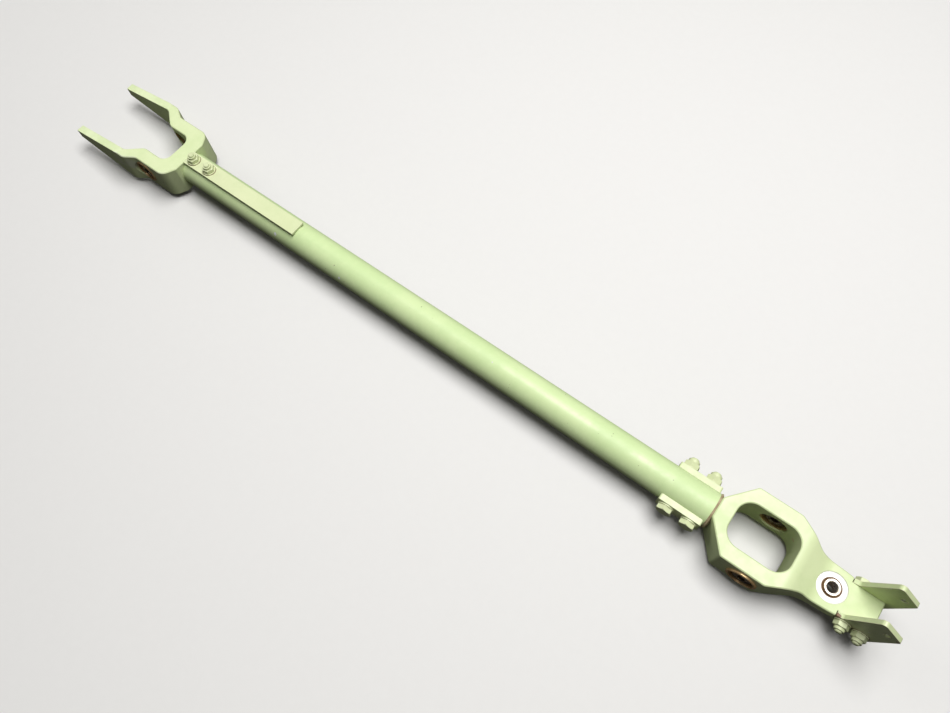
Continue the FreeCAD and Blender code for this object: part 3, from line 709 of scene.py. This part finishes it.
@dataclass
class PaintedBody:
    """The tube, both fittings, the strip, the saddles and the ears, under one spray finish."""

    knocked: Colour = (0.88, 0.92, 0.90)
    rubbed_and_highlight: Colour = (0.90, 0.90, 0.86)
    scuffed: Colour = (0.70, 0.70, 0.66)
    painted_hole_light: Colour = (0.95, 0.93, 0.86)
    top_edge: float = 15.5 * MILLIMETRE
    ear_side: float = 13.5 * MILLIMETRE
    ear_hole_inset: float = 24.6 * MILLIMETRE
    ear_hole_height: float = 29.2 * MILLIMETRE
    ear_hole_mark: float = 3.3 * MILLIMETRE
    land_margin: float = 0.92 * MILLIMETRE

    def tube_blots(self) -> tuple[Blot, ...]:
        """Three knocks along the tube's top and front."""
        return (
            Blot((0.109, -0.0018, 0.0142), 0.0018, (0.90, 0.93, 0.80)),
            Blot((0.1568, -0.0126, 0.0067), 0.0022, self.knocked),
            Blot((0.2338, -0.0131, 0.0057), 0.0016, self.knocked),
        )

    def fork_blots(self) -> tuple[Blot, ...]:
        """Rubbed top edges round the fork's front wall, pale as worn paint and as painted highlight along the
        edge, and scuffs on its face.
        """
        return (
            # Pale along the top edges: rubbed paint and painted highlight on the rounded edge.
            Blot((-0.0250, -0.0363, self.top_edge), 0.0060, self.rubbed_and_highlight, edge_only=True),
            Blot((-0.0170, -0.0352, self.top_edge), 0.0065, self.rubbed_and_highlight, edge_only=True),
            Blot((-0.0090, -0.0312, self.top_edge), 0.0060, self.rubbed_and_highlight, edge_only=True),
            Blot((0.0270, -0.0285, self.top_edge), 0.0070, self.rubbed_and_highlight, strength=0.8, edge_only=True),
            Blot((-0.0130, -0.0345, 0.0060), 0.0090, self.scuffed, strength=0.45),
            Blot((-0.0300, -0.0370, 0.0020), 0.0090, self.scuffed, strength=0.30),
        )

    def frame_blots(self) -> tuple[Blot, ...]:
        """A mark inside the frame's window."""
        return (Blot((0.6488, 0.0152, 0.0012), 0.0020, (0.72, 0.62, 0.38), strength=0.8),)

    def ear_blots(self) -> tuple[Blot, ...]:
        """A stain at the front ear's foot, a mark on its far edge, and painted light on the walls and rims of
        both holes.
        """
        low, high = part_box("front_ear")
        hole_x = low.x + self.ear_hole_inset
        # Pale at both ear holes: painted light on each hole's inner wall and rim.
        holes = [Blot((hole_x, side, self.ear_hole_height), self.ear_hole_mark, self.painted_hole_light, strength=0.9)
                 for side in (-self.ear_side, self.ear_side)]
        return (
            Blot((low.x + 0.0012, -0.0150, 0.0052), 0.0030, (0.20, 0.11, 0.05)),
            Blot((high.x - 0.0010, -0.0150, 0.0300), 0.0022, (0.36, 0.27, 0.15), strength=0.8),
            *holes,
        )

    def land(self) -> Land:
        """The bare machined face round the spherical bearing."""
        low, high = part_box("swivel_race")
        middle = (low + high) / 2
        return Land(tuple(middle), (high.x - low.x) / 2 + self.land_margin)

    def dress(self, nodes: Solids, effects: Effects) -> None:
        """Paint the structural solids, each with its own wear.

        Args:
            nodes: every solid by name.
            effects: the shared shader groups.
        """
        tube = Paint("tube paint", base=(0.700, 0.840, 0.450), deep=(0.620, 0.780, 0.390), chip_cover=0.008,
                     edge_wear=0.30, soil_and_shade=0.45, specks=0.02, blots=self.tube_blots())
        fork = Paint("fork paint", chip_cover=0.006, edge_wear=0.38, soil_and_shade=0.40, specks=0.006,
                     blots=self.fork_blots())
        frame = Paint("frame paint", chip_cover=0.008, edge_wear=0.40, soil_and_shade=0.40,
                      scratch_stretch=(900.0, 60.0, 900.0), scratch_level=0.70, blots=self.frame_blots(),
                      lands=(self.land(),))
        strip = Paint("strip paint", base=(0.750, 0.810, 0.490), deep=(0.680, 0.750, 0.430), edge_wear=0.46,
                      chip_cover=0.03, soil_and_shade=0.5, soil_and_shade_reach=0.003)
        saddle = Paint("saddle paint", base=(0.750, 0.810, 0.500), deep=(0.670, 0.750, 0.430),
                       edge_wear=0.44, soil_and_shade=0.5, soil_and_shade_reach=0.003)
        ear = Paint("ear paint", base=(0.680, 0.760, 0.430), deep=(0.600, 0.690, 0.370), edge_width=0.0012,
                    edge_wear=0.58, bare=(0.760, 0.690, 0.500), chip_cover=0.03, soil_and_shade=0.5,
                    blots=self.ear_blots())
        bead = SoftSeal("aged sealant", (0.300, 0.220, 0.120), (0.500, 0.410, 0.260), grain=1500.0,
                        relief=0.8)
        dress(nodes, ["torque_tube"], tube.material(effects))
        dress(nodes, ["fork_fitting"], fork.material(effects))
        dress(nodes, ["frame_fitting"], frame.material(effects))
        dress(nodes, ["top_strip"], strip.material(effects))
        dress(nodes, ["fork_saddle", "front_saddle", "rear_saddle"], saddle.material(effects))
        dress(nodes, ["front_ear", "rear_ear"], ear.material(effects))
        dress(nodes, ["sealant_bead"], bead.material(effects))


@dataclass
class BoltRow:
    """Two like bolts with their nuts and washers, painted over after they were fitted."""

    joint: str
    axis: Axis
    shank_radius: float
    washer_radius: float
    thread_pitch: float
    tip_length: float
    washer_sheet: float = 0.9 * MILLIMETRE
    thread_depth: float = 0.16 * MILLIMETRE
    tip_chamfer: float = 0.4 * MILLIMETRE
    root_lift: float = 0.01 * MILLIMETRE
    core_depth: float = 0.05 * MILLIMETRE
    thread_fade: float = 8.0
    thread_rows: int = 64
    thread_columns: int = 72
    rim_width: float = 0.9 * MILLIMETRE
    rim_height: float = 0.22 * MILLIMETRE
    slow_swing: float = 0.25
    quick_swing: float = 0.15
    rim_rows: int = 12
    rim_columns: int = 96

    def dress(self, nodes: Solids, effects: Effects) -> None:
        """Paint the fasteners."""
        paint = Paint(f"{self.joint} fastener paint", base=(0.740, 0.800, 0.480), deep=(0.640, 0.700, 0.400),
                      edge_width=0.0006, edge_wear=0.52, chip_cover=0.05, soil_and_shade=0.75, soil_and_shade_reach=0.0025)
        dress(nodes, [f"{self.joint}_bolts", f"{self.joint}_nuts", f"{self.joint}_washers"],
              paint.material(effects))

    def tips(self, nodes: Solids) -> list[np.ndarray]:
        """Centres of the bolts' threaded ends."""
        along = np.array(self.axis.value)
        places = []
        for low, high in solid_boxes(nodes[f"{self.joint}_bolts"]):
            middle = (low + high) / 2
            end = np.where(along >= 0, high, low)
            places.append(middle * (1 - np.abs(along)) + end * np.abs(along))
        return places

    def seats(self, nodes: Solids) -> list[np.ndarray]:
        """Centres of the faces that the nut-side washers sit on."""
        along = np.array(self.axis.value)
        low, high = (np.array(corner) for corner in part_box(f"{self.joint}_washers"))
        level = np.where(along >= 0, high, low) - along * self.washer_sheet
        return [tip * (1 - np.abs(along)) + level * np.abs(along) for tip in self.tips(nodes)]

    def thread(self, tip: np.ndarray) -> np.ndarray:
        """Grid of a threaded skin round a bolt's end.

        The radius is the shank's plus the depth times a triangle wave of height over pitch less the
        angle's share of a turn, so its crests climb one pitch each turn. It fades out at both ends.

        Args:
            tip: centre of the bolt's end face.

        Returns:
            The grid, closed through an inner wall just under the shank's surface.
        """
        height = np.linspace(-self.tip_length, -self.tip_chamfer, self.thread_rows)[:, None]
        angle = round_turn(self.thread_columns)[None, :]
        phase = np.mod(height / self.thread_pitch - angle / FULL_TURN, 1.0)
        crest = 1.0 - np.abs(2.0 * phase - 1.0)
        share = (height + self.tip_length) / (self.tip_length - self.tip_chamfer)
        fade = np.clip(np.minimum(share, 1.0 - share) * self.thread_fade, 0.0, 1.0)
        radius = self.shank_radius + self.root_lift + self.thread_depth * crest * fade
        level = np.broadcast_to(height, radius.shape)
        outer = np.stack([radius * np.cos(angle), radius * np.sin(angle), level], axis=2)
        core = np.full(radius.shape, self.shank_radius - self.core_depth)
        inner = np.stack([core * np.cos(angle), core * np.sin(angle), level], axis=2)[[-1, 0]]
        return np.concatenate([outer, inner]) @ self.axis.turn().T + tip

    def rim(self, seat: np.ndarray, seed: int) -> np.ndarray:
        """Grid of the old paint that ran in round a washer's rim and cracked.

        The section is a low hump outside the rim. Its width swings with two sine waves, three and
        seven to a turn, so it looks brushed and cracked, not turned.

        Args:
            seat: centre of the washer's seat.
            seed: which phase of the waves to use.

        Returns:
            The grid.
        """
        angle = round_turn(self.rim_columns)[None, :]
        slow = self.slow_swing * np.sin(3.0 * angle + seed)
        quick = self.quick_swing * np.sin(7.0 * angle + 2.0 * seed)
        swing = 1.0 + slow + quick
        section = round_turn(self.rim_rows)[:, None]
        radius = self.washer_radius + self.rim_width / 2 * swing * np.cos(section)
        height = self.rim_height * swing * np.sin(section)
        local = np.stack([radius * np.cos(angle), radius * np.sin(angle), height], axis=2)
        return local @ self.axis.turn().T + seat

    def build(self, nodes: Solids, effects: Effects, bench: MeshBench) -> None:
        """Add the threads and the run-in paint.

        Args:
            nodes: every solid by name.
            effects: the shared shader groups.
            bench: where meshes are made.
        """
        paint = Paint(f"{self.joint} thread paint", base=(0.720, 0.780, 0.470), edge_wear=0.55, soil_and_shade=0.8,
                      edge_width=0.0003, soil_and_shade_reach=0.001, chip_cover=0.06)
        skins = [self.thread(tip) for tip in self.tips(nodes)]
        bench.grid(f"{self.joint}_bolt_threads", skins, paint.material(effects))
        crust = SoftSeal(f"{self.joint} cracked paint", (0.150, 0.095, 0.045), (0.400, 0.330, 0.190),
                         grain=2200.0, relief=0.9)
        rims = [self.rim(seat, seed) for seed, seat in enumerate(self.seats(nodes))]
        bench.grid(f"{self.joint}_paint_rims", rims, crust.material(effects))
        LOG.info("threads and run-in paint on %s bolts", self.joint)


@dataclass
class PivotBearing:
    """One sealed ball bearing with its axis along Y."""

    place: str
    ripple_height: float = 0.18 * MILLIMETRE
    ripple_half_waves: float = 3.0
    seal_thickness: float = 0.4 * MILLIMETRE
    seal_gap: float = 0.3 * MILLIMETRE
    seal_rows: int = 24

    def dress(self, nodes: Solids, effects: Effects) -> None:
        """Give the rings and the balls their finishes.

        Args:
            nodes: every solid by name.
            effects: the shared shader groups.
        """
        low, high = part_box(f"{self.place}_outer_ring")
        centre = tuple((low + high) / 2)
        gold = TurnedMetal(f"{self.place} plated ring", (0.900, 0.640, 0.330), (0.640, 0.410, 0.190), centre,
                           ABOUT_Y, rough_low=0.30, rough_high=0.5, metallic=0.6)
        # The ground ring's bright tarnished patches are painted glints, and its near-black tone is dirty
        # steel and partly painted shade inside the bearing.
        steel = TurnedMetal(f"{self.place} ground ring", (0.460, 0.370, 0.280), (0.060, 0.040, 0.024), centre,
                            ABOUT_Y, rough_low=0.22, rough_high=0.45, metallic=0.9)
        ball = TurnedMetal(f"{self.place} ball steel", (0.650, 0.640, 0.620), (0.560, 0.550, 0.530), centre,
                           ABOUT_Y, rough_low=0.08, rough_high=0.16, marks=0.02)
        dress(nodes, [f"{self.place}_outer_ring"], gold.material(effects))
        dress(nodes, [f"{self.place}_inner_ring"], steel.material(effects))
        dress(nodes, [f"{self.place}_balls"], ball.material(effects))

    def build(self, effects: Effects, bench: MeshBench) -> None:
        """Replace the plain shields with rippled seals.

        A seal's face rises and falls with one and a half sine waves from its inner to its outer edge,
        and both faces follow the same wave, a fixed thickness apart.

        Args:
            effects: the shared shader groups.
            bench: where meshes are made.
        """
        outer_low, outer_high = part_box(f"{self.place}_shields")
        inner_low, inner_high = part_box(f"{self.place}_inner_ring")
        centre = np.array((outer_low + outer_high) / 2)
        outer = (outer_high.x - outer_low.x) / 2
        inner = (inner_high.x - inner_low.x) / 2 + self.seal_gap
        reach = (outer_high.y - outer_low.y) / 2
        share = np.linspace(0.0, 1.0, self.seal_rows)
        wave = self.ripple_height * np.sin(share * self.ripple_half_waves * np.pi)
        radius = inner + (outer - inner) * share
        bottom = np.stack([radius, wave - self.seal_thickness], axis=1)
        top = np.stack([radius, wave], axis=1)
        profile = np.concatenate([bottom, top[::-1]])
        skins = []
        for axis in (Axis.REARWARD, Axis.FORWARD):
            seat = centre + np.array(axis.value) * (reach - self.ripple_height)
            skins.append(bench.revolve(profile, seat, axis))
        seal = SoftSeal(f"{self.place} seal", (0.028, 0.022, 0.018), (0.075, 0.055, 0.040))
        bench.grid(f"{self.place}_seals", skins, seal.material(effects), replaced=(f"{self.place}_shields",))
        LOG.info("rippled seals in %s", self.place)


@dataclass
class Swivel:
    """The spherical bearing in the neck, rolled into a bare machined land."""

    lip_height: float = 0.10 * MILLIMETRE
    lip_width: float = 0.45 * MILLIMETRE
    lip_rows: int = 14
    lip_columns: int = 144
    clean_radius: float = 5.8 * MILLIMETRE

    def dress(self, nodes: Solids, effects: Effects) -> None:
        """Give race, liner and ball their finishes.

        Args:
            nodes: every solid by name.
            effects: the shared shader groups.
        """
        low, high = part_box("swivel_race")
        centre = tuple((low + high) / 2)
        race = TurnedMetal("race steel", (0.890, 0.885, 0.870), (0.840, 0.830, 0.810), centre, ABOUT_Z,
                           rough_low=0.34, rough_high=0.46, soil_and_shade=0.0, metallic=0.25)
        ball = TurnedMetal("swivel ball steel", (0.840, 0.790, 0.730), (0.640, 0.540, 0.450), centre, ABOUT_Z,
                           rough_low=0.24, rough_high=0.36, soil_and_shade=0.2, metallic=0.6,
                           clean_radius=self.clean_radius, film=(0.230, 0.130, 0.070))
        liner = SoftSeal("woven liner", (0.210, 0.110, 0.055), (0.340, 0.200, 0.110), grain=4200.0)
        dress(nodes, ["swivel_race"], race.material(effects))
        dress(nodes, ["swivel_ball"], ball.material(effects))
        dress(nodes, ["swivel_liner"], liner.material(effects))

    def build(self, effects: Effects, bench: MeshBench) -> None:
        """Add the rolled lip that holds the race, above and below.

        Its section is a low ellipse laid on the race's rim and turned about the bearing's axis.

        Args:
            effects: the shared shader groups.
            bench: where meshes are made.
        """
        low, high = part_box("swivel_race")
        centre = np.array((low + high) / 2)
        rim = (high.x - low.x) / 2
        section = round_turn(self.lip_rows)
        profile = np.stack([rim + self.lip_width * np.cos(section),
                            self.lip_height * np.sin(section)], axis=1)
        skins = [bench.revolve(profile, np.array([centre[0], centre[1], level]), axis, self.lip_columns)
                 for axis, level in ((Axis.UP, high.z), (Axis.DOWN, low.z))]
        lip = TurnedMetal("rolled lip", (0.880, 0.870, 0.850), (0.800, 0.780, 0.750), tuple(centre),
                          ABOUT_Z, rough_low=0.34, rough_high=0.5, soil_and_shade=0.1, metallic=0.25)
        bench.grid("rolled_lips", skins, lip.material(effects))
        LOG.info("rolled lips round the race")


@dataclass(frozen=True)
class Lamp:
    """A square lamp: its place, the point it faces, the length of its side and its power in watts."""

    name: str
    place: Place
    aim: Place
    size: float
    power: float

    def hang(self) -> None:
        """Put the lamp in the scene, turned to its aim."""
        data = bpy.data.lights.new(self.name, "AREA")
        data.size = self.size
        data.energy = self.power
        light = bpy.data.objects.new(self.name, data)
        light.location = self.place
        light.rotation_mode = "QUATERNION"
        light.rotation_quaternion = (Vector(self.place) - Vector(self.aim)).to_track_quat("Z", "Y")
        bpy.context.scene.collection.objects.link(light)


@dataclass
class Studio:
    """Pale floor, soft lamps and the camera at the photograph's angle."""

    azimuth: float = math.radians(42.1)
    elevation: float = math.radians(65.6)
    roll: float = math.radians(-5.85)
    distance: float = 0.59135
    target: Place = (0.37300, -0.00217, 0.0)
    lens: float = 27.085
    sensor: float = 36.0
    nearest: float = 0.01
    floor_reach: float = 6.0
    floor_colour: Colour = (0.76, 0.75, 0.73)
    floor_bounce: Colour = (0.050, 0.047, 0.040)
    floor_rough: float = 0.85
    speckle_scale: float = 160.0
    speckle_gain: float = 1.03
    fade_start: float = 1.1
    fade_end: float = 2.2
    backdrop: Colour = (0.86, 0.85, 0.83)
    sky: float = 0.065
    lamps: tuple[Lamp, ...] = (
        Lamp("key", (0.52, 0.34, 1.70), (0.42, 0.0, 0.0), 1.10, 36.5),
        Lamp("left", (-1.40, 0.10, 0.70), (0.45, 0.0, 0.0), 0.9, 6.0),
    )

    def camera(self) -> None:
        """Stand the camera back from the target and turn it by its roll."""
        az, el = self.azimuth, self.elevation
        back = np.array([math.sin(az) * math.cos(el), -math.cos(az) * math.cos(el), math.sin(el)])
        level = np.array([math.cos(az), math.sin(az), 0.0])
        upward = np.cross(back, level)
        right = math.cos(self.roll) * level + math.sin(self.roll) * upward
        up = math.cos(self.roll) * upward - math.sin(self.roll) * level
        place = np.array(self.target) + back * self.distance
        rows = np.column_stack([right, up, back, place]).tolist()
        data = bpy.data.cameras.new("camera")
        data.lens = self.lens
        data.sensor_width = self.sensor
        data.clip_start = self.nearest
        camera = bpy.data.objects.new("camera", data)
        camera.matrix_world = Matrix([*rows, [0.0, 0.0, 0.0, 1.0]])
        bpy.context.scene.collection.objects.link(camera)
        bpy.context.scene.camera = camera

    def floor(self, level: float) -> None:
        """Lay the floor at a height, with a faint speckle.

        Only camera rays see it pale, so that it neither lights the part nor shines in it, and far
        from the part it fades into the world.

        Args:
            level: the floor's height.
        """
        mesh = bpy.data.meshes.new("floor")
        reach = self.floor_reach
        corners = [(x * reach, y * reach, level) for x, y in ((-1, -1), (1, -1), (1, 1), (-1, 1))]
        mesh.from_pydata(corners, [], [(0, 1, 2, 3)])
        piece = bpy.data.objects.new("floor", mesh)
        material, sheet, shader = blank_material("floor")
        speckle = sheet.noise(sheet.here(), self.speckle_scale, detail=4.0, rough=0.6)
        bright = tuple(min(1.0, part * self.speckle_gain) for part in self.floor_colour)
        seen = sheet.blend(speckle, self.floor_colour, bright)
        camera_ray = sheet.node("ShaderNodeLightPath").outputs["Is Camera Ray"]
        sheet.join(sheet.blend(camera_ray, self.floor_bounce, seen), shader.inputs["Base Color"])
        shader.inputs["Roughness"].default_value = self.floor_rough
        middle = (self.target[0], self.target[1], level)
        away = sheet.vector("DISTANCE", sheet.here(), middle).outputs["Value"]
        far = sheet.math("MULTIPLY", sheet.step(away, self.fade_start, self.fade_end), camera_ray)
        clear = sheet.node("ShaderNodeBsdfTransparent")
        faded = sheet.node("ShaderNodeMixShader", {0: far, 1: shader.outputs[0], 2: clear.outputs[0]})
        sheet.join(faded.outputs[0], sheet.tree.nodes["Material Output"].inputs["Surface"])
        mesh.materials.append(material)
        bpy.context.scene.collection.objects.link(piece)
        piece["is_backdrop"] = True

    def world(self) -> None:
        """Make a world that camera rays see at strength 1 and that lights the part at the sky's level."""
        world = bpy.data.worlds.new("studio")
        world.use_nodes = True
        sheet = NodeSheet(world.node_tree)
        background = world.node_tree.nodes["Background"]
        background.inputs["Color"].default_value = (*self.backdrop, 1.0)
        camera_ray = sheet.node("ShaderNodeLightPath").outputs["Is Camera Ray"]
        strength = sheet.step(camera_ray, low=0.0, high=1.0, out=(self.sky, 1.0))
        sheet.join(strength, background.inputs["Strength"])
        bpy.context.scene.world = world

    def build(self, level: float) -> None:
        """Make the whole studio over a floor at the given height."""
        self.camera()
        self.floor(level)
        self.world()
        for lamp in self.lamps:
            lamp.hang()
        bpy.context.scene.view_settings.view_transform = "Standard"


def main() -> None:
    """Load the solids, build and dress each sub-assembly, and set up the studio."""
    logging.basicConfig(level=logging.INFO, format="%(message)s")
    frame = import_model()
    solid_bounds = [list(corner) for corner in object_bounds()]
    nodes = frame["nodes"]
    effects = Effects()
    bench = MeshBench()
    PaintedBody().dress(nodes, effects)
    rows = [
        BoltRow("fork", Axis.UP, shank_radius=2.38 * MILLIMETRE, washer_radius=6.0 * MILLIMETRE,
                thread_pitch=0.79 * MILLIMETRE, tip_length=1.5 * MILLIMETRE),
        BoltRow("frame", Axis.REARWARD, shank_radius=3.175 * MILLIMETRE, washer_radius=6.5 * MILLIMETRE,
                thread_pitch=0.91 * MILLIMETRE, tip_length=1.8 * MILLIMETRE, washer_sheet=1.2 * MILLIMETRE),
        BoltRow("ear", Axis.FORWARD, shank_radius=2.38 * MILLIMETRE, washer_radius=6.0 * MILLIMETRE,
                thread_pitch=0.79 * MILLIMETRE, tip_length=1.5 * MILLIMETRE),
    ]
    for row in rows:
        row.dress(nodes, effects)
        row.build(nodes, effects, bench)
    for place in ("fork_front", "fork_rear", "frame_front", "frame_rear"):
        bearing = PivotBearing(place)
        bearing.dress(nodes, effects)
        bearing.build(effects, bench)
    swivel = Swivel()
    swivel.dress(nodes, effects)
    swivel.build(effects, bench)
    Studio().build(solid_bounds[0][2])
    LOG.info("pieces made: %s", ", ".join(bench.made))


if __name__ == "__main__":
    main()
